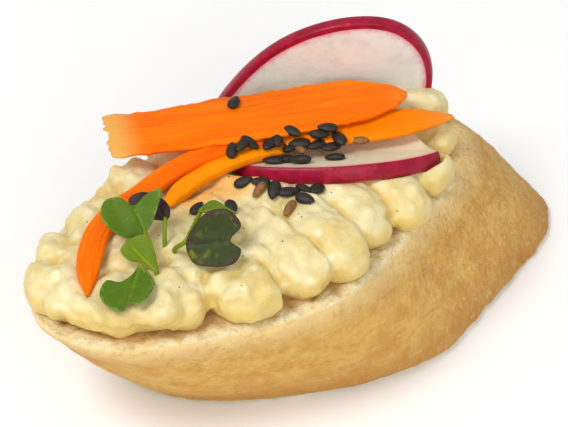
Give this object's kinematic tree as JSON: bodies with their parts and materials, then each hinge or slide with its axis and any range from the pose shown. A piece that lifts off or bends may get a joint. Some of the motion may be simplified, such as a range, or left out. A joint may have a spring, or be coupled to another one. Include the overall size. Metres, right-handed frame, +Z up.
{
  "type": "open sandwich",
  "caption": "Open sandwich: a slanting slice of small baguette with egg spread, radish slices, carrot ribbons and radish shoots.",
  "frame": {"origin": "on the lower cut face, at its middle", "axes": "+Z up from the lower cut face, +X along the slice towards the right-hand pointed tip, -Y towards the front with the scalloped edge of the spread"},
  "size_m": [0.0931, 0.046, 0.0406],
  "materials": {
    "crust": "matt golden crust with pale crumb at the cut faces",
    "egg_spread": "moist pale yellow egg spread",
    "radish": "moist white flesh with magenta skin",
    "carrot": "moist orange",
    "leaf": "satin green",
    "dark_leaf": "satin dark green with purple"
  },
  "bodies": {
    "root": {"bread": "crust", "spread": "egg_spread", "radish_slice_upright": "radish", "radish_slice_lying": "radish", "carrot_ribbon_wide": "carrot", "carrot_ribbon_right": "carrot", "carrot_strip_curved": "carrot", "carrot_strip_short": "carrot", "shoot_green": "leaf", "shoot_low": "leaf", "shoot_purple": "dark_leaf", "shoot_dark": "dark_leaf"}
  },
  "joints": []
}
